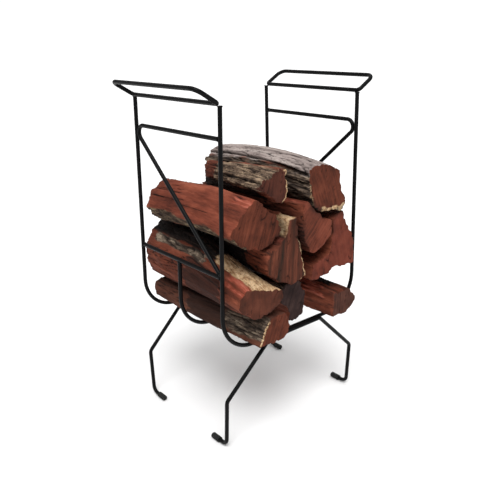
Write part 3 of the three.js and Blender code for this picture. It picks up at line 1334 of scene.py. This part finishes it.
@dataclass
class SplitLog:
    """A split log, carved from a copy of its CAD solid."""

    node: str
    slot: str
    finish: WoodFinish
    seed: int
    patches: tuple[Patch, ...] = ()
    bands: tuple[Band, ...] = ()
    cracks: tuple[Crack, ...] = ()
    swells: tuple[Swell, ...] = ()
    relief: float = 1.0
    ragged_back: float = 0.0
    small_cracks: int = 14
    wander: float = 7.0
    # Reach of the painted shade near the other logs.
    painted_gap_shade_reach: float = 22 * MM
    grain_step: float = 1.7 * MM
    cut: EndCut = EndCut()

    def _blank(self) -> bpy.types.Object:
        """Copy the CAD solid and merge its points.

        Returns:
            The blank.
        """
        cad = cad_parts[self.node]
        blank = bpy.data.objects.new(f"carved_{self.node}", cad.data.copy())
        bpy.context.scene.collection.objects.link(blank)
        Bench.pick(blank)
        Bench.edit_all()
        bpy.ops.mesh.remove_doubles(threshold=MERGE)
        bpy.ops.object.mode_set(mode="OBJECT")
        return blank

    def _others(self) -> BVHTree:
        """Gather the CAD solids of the other logs.

        Returns:
            A tree of their faces.
        """
        places = []
        faces = []
        for name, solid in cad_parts.items():
            if name.startswith("log_") and name != self.node:
                first = len(places)
                faces += [tuple(index + first for index in face.vertices) for face in solid.data.polygons]
                places += [tuple(vertex.co) for vertex in solid.data.vertices]
        return BVHTree.FromPolygons(places, faces)

    def _small_cracks(self) -> tuple[Crack, ...]:
        """Draw the short cracks that every split log has.

        Returns:
            The cracks.
        """
        draw = random.Random(self.seed)
        made = []
        for _ in range(self.small_cracks):
            angle = draw.uniform(-180, 180)
            front = draw.uniform(-0.1, 0.8)
            made.append(Crack(
                angle, angle + draw.uniform(-12, 12), front, front + draw.uniform(0.15, 0.45),
                draw.uniform(0.9, 1.5) * MM, draw.uniform(1.5, 3.2) * MM,
            ))
        return tuple(made)

    def _survey(self, mesh: bpy.types.Mesh, sides: BVHTree, section: Section) -> Survey:
        """Measure the points of the blank.

        Args:
            mesh: The remeshed blank.
            sides: The long sides of the CAD solid.
            section: Its cross-sections.

        Returns:
            The survey.
        """
        count = len(mesh.vertices)
        points, normals = (np.zeros(count * 3) for _ in range(2))
        mesh.vertices.foreach_get("co", points)
        mesh.vertices.foreach_get("normal", normals)
        points = points.reshape(-1, 3)
        normals = normals.reshape(-1, 3)
        own = section.straightened(points)
        front, back = section.levels[0], section.levels[-1]
        angle = np.degrees(np.arctan2(own[:, 2], own[:, 0]))
        to_end = np.minimum(points[:, 1] - front, back - points[:, 1])
        sawn = smooth_share(to_end, self.cut.thickness, self.cut.full_thickness)
        sawn *= smooth_share(np.abs(normals[:, 1]), 0.3, 0.6)

        outward = normals * [1, 0, 1]
        length = np.linalg.norm(outward, axis=1)
        from_rim = np.zeros(count)
        rim_angle = angle.copy()
        for index in np.nonzero(sawn > 0.01)[0]:
            place, normal, _, from_rim[index] = sides.find_nearest(Vector(points[index]))
            if length[index] < 0.5:
                outward[index] = (normal.x, 0, normal.z)
            beside = section.straightened(np.array([place]))[0]
            rim_angle[index] = math.degrees(math.atan2(beside[2], beside[0]))
        outward = outward / np.maximum(np.linalg.norm(outward, axis=1), 1e-6)[:, None]
        share = (points[:, 1] - front) / (back - front)
        return Survey(points, own, outward, share, angle, rim_angle, from_rim, to_end, sawn)

    def _masks(self, survey: Survey, drift: np.ndarray) -> dict[Skin, np.ndarray]:
        """Work out how far each point belongs to each skin.

        Args:
            survey: The points.
            drift: Noise that makes the edges of the patches wander.

        Returns:
            Numbers from 0 to 1 for each skin.
        """
        masks = {skin: np.zeros(len(survey.share)) for skin in Skin}
        lengthwise = survey.share + drift * 0.05
        for patch in self.patches:
            middle = (patch.start + patch.end) / 2
            half = (patch.end - patch.start) / 2
            away = np.abs(turned_from(survey.rim_angle, middle)) + drift * self.wander
            mask = smooth_share(away, half + 3, half - 3)
            mask = mask * smooth_share(lengthwise, patch.front - 0.015, patch.front + 0.015)
            mask = mask * smooth_share(lengthwise, patch.back + 0.015, patch.back - 0.015)
            masks[patch.skin] = np.maximum(masks[patch.skin], mask)
        masks[Skin.SPLIT] = 1 - np.clip(sum(masks.values()) - masks[Skin.SPLIT], 0, 1)
        return masks

    def _side(self, survey: Survey, masks: dict[Skin, np.ndarray], waves: Waves,
              drift: np.ndarray) -> tuple[np.ndarray, np.ndarray]:
        """Work out the relief of the long sides.

        Args:
            survey: The points.
            masks: The skins.
            waves: The log's noise.
            drift: Noise that makes the cracks wander.

        Returns:
            How far each point sinks, and how far it lies in a furrow or crack, where shade is painted.
        """
        sink = np.zeros(len(survey.share))
        painted_crack_shade = np.zeros(len(survey.share))
        for number, (skin, layers) in enumerate(RELIEFS.items()):
            for step, layer in enumerate(layers):
                shift = np.array(RELIEF_SHIFT) * (number * 7 + step)
                value = waves.at(survey.own + shift, (layer.across, layer.along, layer.across))
                # Furrows sink and also get painted shade.
                if layer.furrow:
                    low = 1 - smooth_share(np.abs(value), 0.0, layer.furrow)
                    depth = min(1.0, layer.depth / FULL_FURROW)
                    painted_crack_shade = np.maximum(painted_crack_shade, low * masks[skin] * depth)
                elif layer.stepped:
                    low = -0.5 * np.tanh(value * 9)
                else:
                    low = -0.5 * value
                sink += masks[skin] * layer.depth * low * self.relief
        for swell in self.swells:
            away = turned_from(survey.rim_angle, swell.angle) / swell.spread
            sink -= swell.height * np.exp(-away ** 2 - ((survey.share - swell.share) / swell.length) ** 2)
        reach = np.hypot(survey.own[:, 0], survey.own[:, 2])
        for crack in self.cracks + self._small_cracks():
            line = crack.front_angle + (crack.back_angle - crack.front_angle) * survey.share
            away = np.radians(np.abs(turned_from(survey.angle, line))) * reach + drift * 1.2 * MM
            deep = smooth_share(np.abs(away), crack.width, crack.width * 0.3)
            deep *= smooth_share(survey.share, crack.front, crack.front + 0.06)
            deep *= smooth_share(survey.share, crack.back, crack.back - 0.1)
            sink += deep * crack.depth
            # Cracks get painted shade.
            painted_crack_shade = np.maximum(painted_crack_shade, deep)
        return sink, painted_crack_shade

    def _ends(self, survey: Survey, waves: Waves) -> tuple[np.ndarray, np.ndarray]:
        """Work out the relief of the two ends.

        Args:
            survey: The points.
            waves: The log's noise.

        Returns:
            How far each point sinks into its end, and how far it lies in a check, where shade is painted.
        """
        cut = self.cut
        turn = math.radians(self.finish.streak_turn)
        dragged = survey.own @ np.array([
            [math.cos(turn), 0, math.sin(turn)],
            [0, 1, 0],
            [-math.sin(turn), 0, math.cos(turn)],
        ])
        sink = (waves.at(survey.own + Shift.END_WAVES, (40 * MM,) * 3) * 0.5 + 0.5) * cut.waves
        marks = waves.at(dragged + Shift.SAW_MARKS, (4 * MM, 40 * MM, 45 * MM))
        sink += (marks * 0.5 + 0.5) * cut.saw_marks
        lines = waves.at(dragged + Shift.CHECKS, (17 * MM, 60 * MM, 80 * MM))
        places = waves.at(survey.own + Shift.CHECK_PLACES, (20 * MM,) * 3)
        checks = 1 - smooth_share(np.abs(lines), 0.0, 0.05)
        checks *= smooth_share(places, -0.1, 0.3) * survey.sawn
        sink += checks * cut.checks
        if self.ragged_back:
            layers = waves.at(survey.own + Shift.RAGS, (30 * MM, 300 * MM, 9 * MM))
            rags = smooth_share(layers, -0.1, 0.25) * self.ragged_back
            sink += np.where(survey.share > 0.5, rags, 0)
        return sink * smooth_share(survey.to_end, cut.fade, 0.0), checks

    def _carve(self, blank: bpy.types.Object, sides: BVHTree, section: Section) -> None:
        """Move the points of the blank and note what each one is.

        Args:
            blank: The remeshed blank.
            sides: The long sides of the CAD solid.
            section: Its cross-sections.
        """
        waves = Waves(self.seed)
        survey = self._survey(blank.data, sides, section)
        own = survey.own
        drift = waves.at(own, (16 * MM, 60 * MM, 16 * MM))
        drift += 0.5 * waves.at(own + Shift.FINE_DRIFT, (6 * MM, 20 * MM, 6 * MM))
        masks = self._masks(survey, drift)
        sink, painted_crack_shade = self._side(survey, masks, waves, drift)
        near_rim = smooth_share(survey.from_rim, self.cut.rim, 0.5 * MM)
        chips = waves.at(own + Shift.CHIPS, (11 * MM, 9 * MM, 11 * MM))
        chips = smooth_share(chips, 0.0, 0.7) * self.cut.chips
        chips *= smooth_share(survey.to_end, self.cut.chips_reach, 0.0)
        on_end = survey.sawn > 0.01
        moved = survey.points - survey.outward * ((sink + chips) * np.where(on_end, near_rim, 1.0))[:, None]
        end_sink, checks = self._ends(survey, waves)
        moved[:, 1] += np.where(survey.share < 0.5, 1.0, -1.0) * end_sink
        # Painted shade fades near the ends' rims and fills the checks.
        painted_crack_shade = np.maximum(painted_crack_shade * np.where(on_end, near_rim * 0.5, 1.0), checks * 0.75)

        sawn = survey.sawn
        for band in self.bands:
            middle = (band.start + band.end) / 2
            half = (band.end - band.start) / 2
            inside = smooth_share(np.abs(turned_from(survey.rim_angle, middle)), half + 4, half - 4)
            inside *= survey.from_rim < band.width * (1 + 0.5 * drift)
            inside *= (survey.to_end < 2.2 * MM) * (survey.share < 0.5)
            if band.block:
                # The gaps between blocks sink and get painted shade.
                place = (survey.rim_angle - band.start + drift * 3) / band.block
                gaps = smooth_share(np.abs(place % 1 - 0.5), 0.4, 0.47) * inside
                painted_crack_shade = np.maximum(painted_crack_shade, gaps)
                moved[:, 1] += gaps * self.cut.block_gap
            masks[band.skin] = np.maximum(masks[band.skin], inside)
            sawn = sawn * (1 - inside)
        self._write(blank.data, survey, moved, masks, {"sawn": sawn, "painted_crack_shade": painted_crack_shade})

    def _write(self, mesh: bpy.types.Mesh, survey: Survey, moved: np.ndarray,
               masks: dict[Skin, np.ndarray], marks: dict[str, np.ndarray]) -> None:
        """Move the mesh's points and keep what the finish reads on them.

        Args:
            mesh: The mesh.
            survey: Its points as they were.
            moved: Their new places.
            masks: The skins.
            marks: The sawn ends and the painted shade in cracks and furrows.
        """
        mesh.vertices.foreach_set("co", moved.ravel())
        mesh.update()
        others = self._others()
        near = np.array([others.find_nearest(Vector(point))[3] for point in survey.points])
        # Painted shade near the other logs, strongest where they touch.
        marks = marks | {"painted_gap_shade": smooth_share(near, self.painted_gap_shade_reach, 1 * MM)}
        for skin in PAINTED:
            marks[skin.value] = masks[skin] * (1 - marks["sawn"])
        for name, values in marks.items():
            attribute = mesh.attributes.new(name, "FLOAT", "POINT")
            attribute.data.foreach_set("value", values.astype(np.float32))
        grain = mesh.attributes.new("grain", "FLOAT_VECTOR", "POINT")
        grain.data.foreach_set("vector", (survey.own + self.seed * 0.37).astype(np.float32).ravel())

    def build(self) -> None:
        """Carve, dress and report the log."""
        blank = self._blank()
        corners = np.array([vertex.co for vertex in blank.data.vertices])
        faces = [tuple(face.vertices) for face in blank.data.polygons if abs(face.normal.y) < 0.7]
        sides = BVHTree.FromPolygons([tuple(point) for point in corners], faces)
        step = self.grain_step * 1
        Bench.modify(blank, "REMESH", mode="VOXEL", voxel_size=step)
        self._carve(blank, sides, Section.of(corners))
        Bench.pick(blank)
        bpy.ops.object.shade_smooth()
        Bench.dress(blank, self.finish.material(), self.slot, [self.node])


@dataclass
class Stack:
    """The ten logs in the rack."""

    red: str = "red_split_wood"
    dark: str = "dark_split_wood"
    grey: str = "grey_bark_wood"

    def logs(self) -> list[SplitLog]:
        """List the logs with their patches and colours, from the top down."""
        # Some patches paint light: near-black patches of deep shade and darkened patches of shade where
        # logs hide each other, and pink patches of highlight on split faces.
        return [
            SplitLog(
                "log_top_bark", self.grey,
                WoodFinish(
                    "top_bark_wood", bark=((94, 83, 79), (158, 144, 139), (190, 179, 172)), bark_run=0.08,
                    bark_specks=0.15, streak_turn=-20,
                ), 11,
                patches=(
                    Patch(Skin.BARK, -40, 148), Patch(Skin.WEATHERED, 148, 262, -0.2, 0.55),
                    Patch(Skin.WEATHERED, 148, 166, 0.55, 1.2), Patch(Skin.TORN, 166, 262, 0.55, 1.2),
                ),
                bands=(Band(Skin.SAPWOOD, 246, 324, 10 * MM, 17), Band(Skin.SAPWOOD, 165, 215, 2.5 * MM)),
                cracks=(
                    Crack(96, 88, 0.15, 1.2, 2.8 * MM, 5 * MM),
                    Crack(118, 106, 0.0, 0.8, 2.2 * MM, 4 * MM),
                    Crack(150, 138, 0.0, 1.2, 3.6 * MM, 8 * MM),
                    Crack(168, 160, 0.0, 0.9, 2.4 * MM, 5 * MM),
                    Crack(186, 182, 0.1, 1.0, 2.6 * MM, 6 * MM),
                    Crack(205, 200, 0.0, 0.8, 2.2 * MM, 5 * MM),
                    Crack(72, 66, 0.3, 1.0, 1.6 * MM, 3 * MM),
                ),
                ragged_back=14 * MM,
            ),
            SplitLog(
                "log_top_wedge", self.dark,
                WoodFinish(
                    "top_wedge_wood", sawn=((44, 24, 20), (76, 41, 32), (94, 54, 43)), streak_turn=10,
                    weathered=((30, 23, 19), (112, 92, 77), (192, 166, 136)),
                ), 12,
                patches=(
                    Patch(Skin.WEATHERED, 62, 196, -0.2, 0.8), Patch(Skin.TORN, 62, 196, 0.8, 1.2),
                    Patch(Skin.PAINTED_DEEP_SHADE, 196, 300, 0.12, 1.2),
                ),
                bands=(Band(Skin.SAPWOOD, -50, 50, 3 * MM),),
                cracks=(
                    Crack(120, 130, 0.1, 0.9, 2 * MM, 4 * MM),
                    Crack(150, 150, 0.0, 0.7, 2.4 * MM, 5 * MM),
                    Crack(96, 110, 0.3, 1.0, 2 * MM, 4 * MM),
                ),
            ),
            SplitLog(
                "log_upper_left", self.red,
                WoodFinish(
                    "upper_left_wood", split=((78, 38, 28), (122, 62, 46), (156, 86, 64)),
                    bark=((26, 20, 16), (76, 60, 48), (158, 138, 108)), split_smudges=0.35,
                ), 13,
                patches=(
                    Patch(Skin.BARK, 192, 250), Patch(Skin.BARK, 76, 84), Patch(Skin.TORN, -20, 45),
                    Patch(Skin.PAINTED_HIGHLIGHT, 45, 72, -0.2, 0.3), Patch(Skin.PAINTED_HIGHLIGHT, 96, 116, -0.2, 0.13),
                ),
                cracks=(
                    Crack(88, 86, 0.0, 1.0, 1.6 * MM, 3 * MM),
                    Crack(98, 108, 0.05, 0.22, 1.8 * MM, 3 * MM),
                    Crack(112, 102, 0.1, 0.2, 1.6 * MM, 2 * MM),
                    Crack(150, 156, 0.4, 0.75, 1.2 * MM, 1.5 * MM),
                ),
                swells=(
                    Swell(96, 0.0, 14, 0.6, 5 * MM),
                    Swell(146, 0.75, 14, 0.4, 4 * MM),
                    Swell(12, 0.0, 14, 0.3, 4 * MM),
                ),
            ),
            SplitLog(
                "log_upper_right", self.red,
                WoodFinish(
                    "upper_right_wood", sawn=((64, 34, 25), (112, 57, 42), (136, 75, 57)), streak_turn=45,
                ), 14,
                patches=(
                    Patch(Skin.TORN, 130, 240), Patch(Skin.PAINTED_HIGHLIGHT, 96, 128, -0.2, 0.4),
                    Patch(Skin.PAINTED_SHADE_PATCH, 40, 130, 0.4, 1.2),
                ),
                swells=(
                    Swell(4, 0.0, 15, 0.3, 5 * MM),
                    Swell(-80, 0.0, 14, 0.3, 4 * MM),
                    Swell(75, 0.0, 16, 0.4, 3 * MM),
                ),
                relief=0.8,
            ),
            SplitLog(
                "log_middle", self.red,
                WoodFinish(
                    "middle_wood", sawn=((34, 29, 23), (84, 45, 33), (124, 70, 52)),
                    streak_turn=5, streak_pull=1.8, streak_scale=75,
                ), 15,
                patches=(
                    Patch(Skin.SAPWOOD, 70, 102, -0.2, 0.14), Patch(Skin.PAINTED_HIGHLIGHT, 102, 130, -0.2, 0.3),
                    Patch(Skin.TORN, 130, 250, -0.2, 0.2),
                    Patch(Skin.PAINTED_DEEP_SHADE, 120, 250, 0.2, 1.2),
                ),
                bands=(Band(Skin.SAPWOOD, -60, 40, 2.5 * MM),),
            ),
            SplitLog(
                "log_right", self.red,
                WoodFinish("right_wood", sawn=((70, 35, 27), (104, 50, 38), (122, 63, 48)), streak_turn=-15,
                           streak_pull=0.6), 16,
            ),
            SplitLog(
                "log_left", self.red,
                WoodFinish("left_wood", sawn=((56, 32, 24), (86, 47, 35), (106, 61, 46)), streak_turn=5,
                           streak_pull=0.6), 17,
                patches=(
                    Patch(Skin.SAPWOOD, 6, 124, -0.2, 0.34), Patch(Skin.PAINTED_DEEP_SHADE, 50, 118, 0.34, 1.2),
                    Patch(Skin.PAINTED_HIGHLIGHT, 124, 152, -0.2, 0.16),
                    Patch(Skin.BARK, 118, 142, 0.4, 0.92), Patch(Skin.PAINTED_SHADE_PATCH, 142, 240, 0.2, 0.55),
                    Patch(Skin.TORN, 150, 240, 0.55, 1.2),
                ),
                swells=(
                    Swell(8, 0.0, 15, 0.35, 6 * MM),
                    Swell(132, 0.0, 13, 0.3, 5 * MM),
                    Swell(190, 0.8, 22, 0.06, 4 * MM),
                ),
            ),
            SplitLog(
                "log_bottom_left", self.dark,
                WoodFinish("bottom_left_wood", split=((50, 31, 24), (82, 49, 38), (106, 66, 50))), 18,
                patches=(
                    Patch(Skin.BARK, 110, 205, -0.2, 0.32), Patch(Skin.PAINTED_SHADE_PATCH, 110, 250, 0.32, 0.66),
                    Patch(Skin.TORN, 100, 240, 0.66, 1.2),
                ),
                bands=(Band(Skin.SAPWOOD, 125, 215, 2.4 * MM),),
                swells=(Swell(125, 1.0, 30, 0.3, 5 * MM), Swell(-100, 0.0, 16, 0.3, 3 * MM)),
            ),
            SplitLog(
                "log_bottom_middle", self.dark,
                WoodFinish("bottom_middle_wood", sawn=((38, 29, 29), (60, 45, 43), (86, 66, 60))), 19,
                patches=(
                    Patch(Skin.WEATHERED, 105, 170, -0.2, 0.12), Patch(Skin.PAINTED_SHADE_PATCH, 60, 250, 0.12, 1.2),
                ),
            ),
            SplitLog(
                "log_bottom_right", self.red,
                WoodFinish(
                    "bottom_right_wood", sawn=((54, 34, 28), (82, 50, 41), (104, 68, 56)), streak_turn=0,
                ), 20,
                patches=(Patch(Skin.PAINTED_DEEP_SHADE, 66, 112, 0.12, 1.2), Patch(Skin.PAINTED_HIGHLIGHT, 130, 168, 0.1, 0.4)),
                cracks=(Crack(120, 118, 0.0, 0.6, 1.6 * MM, 3 * MM),),
            ),
        ]

    def build(self) -> None:
        """Build every log."""
        for log in self.logs():
            log.build()


# ---------------------------------------------------------------- studio


@dataclass
class Studio:
    """Pale floor, soft lights and the camera."""

    floor_size: float = 60.0
    floor_drop: float = 0.5 * MM
    eye: Seat = (-0.7896, -0.9322, 0.7594)
    yaw: float = -40.35
    pitch: float = 19.2
    roll: float = -0.79
    lens: float = 44.17
    sensor: float = 36.0
    sky_low: float = 0.12
    sky_high: float = 1.15
    sky_seen: float = 1.05
    sun_power: float = 2.2
    sun_spread: float = 32.0
    sun_place: Seat = (-0.75, -0.85, 1.95)

    def _camera(self) -> None:
        """Place the camera."""
        yaw, pitch, roll = (math.radians(angle) for angle in (self.yaw, self.pitch, self.roll))
        level = Vector((math.cos(yaw), math.sin(yaw), 0))
        away = Vector((-math.sin(yaw), math.cos(yaw), 0))
        ahead = away * math.cos(pitch) - Vector((0, 0, math.sin(pitch)))
        above = level.cross(ahead)
        right = level * math.cos(roll) + above * math.sin(roll)
        up = above * math.cos(roll) - level * math.sin(roll)
        data = bpy.data.cameras.new("camera")
        data.lens = self.lens
        data.sensor_width = self.sensor
        camera = bpy.data.objects.new("camera", data)
        bpy.context.scene.collection.objects.link(camera)
        camera.matrix_world = Matrix((right, up, -ahead)).transposed().to_4x4()
        camera.location = Vector(self.eye)
        bpy.context.scene.camera = camera

    def _sun(self) -> None:
        """Hang a broad soft sun in front of the bundle, to its upper left."""
        data = bpy.data.lights.new("soft_sun", "SUN")
        data.energy = self.sun_power
        data.angle = math.radians(self.sun_spread)
        lamp = bpy.data.objects.new("soft_sun", data)
        bpy.context.scene.collection.objects.link(lamp)
        lamp.rotation_euler = (-Vector(self.sun_place)).to_track_quat("-Z", "Y").to_euler()
        lamp.location = self.sun_place

    def _surroundings(self) -> None:
        """Light the scene evenly from a pale sky."""
        world = bpy.data.worlds.new("soft_sky")
        bpy.context.scene.world = world
        world.use_nodes = True
        tree = world.node_tree
        tree.nodes.clear()
        seen = tree.nodes.new("ShaderNodeBackground")
        seen.inputs["Color"].default_value = (1, 1, 1, 1)
        seen.inputs["Strength"].default_value = self.sky_seen
        lit = tree.nodes.new("ShaderNodeBackground")
        lit.inputs["Color"].default_value = (1, 1, 1, 1)
        way = tree.nodes.new("ShaderNodeTexCoord")
        split = tree.nodes.new("ShaderNodeSeparateXYZ")
        rise = tree.nodes.new("ShaderNodeMapRange")
        rise.inputs["From Min"].default_value = 0.0
        rise.inputs["From Max"].default_value = 1.0
        rise.inputs["To Min"].default_value = self.sky_low
        rise.inputs["To Max"].default_value = self.sky_high
        tree.links.new(way.outputs["Generated"], split.inputs[0])
        tree.links.new(split.outputs["Z"], rise.inputs["Value"])
        tree.links.new(rise.outputs["Result"], lit.inputs["Strength"])
        path = tree.nodes.new("ShaderNodeLightPath")
        mix = tree.nodes.new("ShaderNodeMixShader")
        output = tree.nodes.new("ShaderNodeOutputWorld")
        tree.links.new(path.outputs["Is Camera Ray"], mix.inputs[0])
        tree.links.new(lit.outputs[0], mix.inputs[1])
        tree.links.new(seen.outputs[0], mix.inputs[2])
        tree.links.new(mix.outputs[0], output.inputs[0])

    def build(self) -> None:
        """Build the studio."""
        bpy.context.scene.view_settings.view_transform = "Standard"
        Bench.clear()
        bpy.ops.mesh.primitive_plane_add(size=self.floor_size, location=(0, 0, -self.floor_drop))
        floor = bpy.context.active_object
        floor.name = "floor"
        bpy.ops.object.transform_apply(location=True)
        floor.data.materials.append(FloorFinish().material())
        self._surroundings()
        self._camera()
        self._sun()


def main() -> None:
    """Build the studio, the rack, its tips and the logs, in that order."""
    logging.basicConfig(level=logging.INFO, format="%(name)s %(message)s")
    Studio().build()
    Rack().build()
    rubber = RubberFinish().material()
    for end_name, side_name in product(("front", "back"), ("left", "right")):
        FootTip(f"{end_name}_{side_name}_foot_tip").build(rubber)
    Stack().build()


if __name__ == "__main__":
    main()
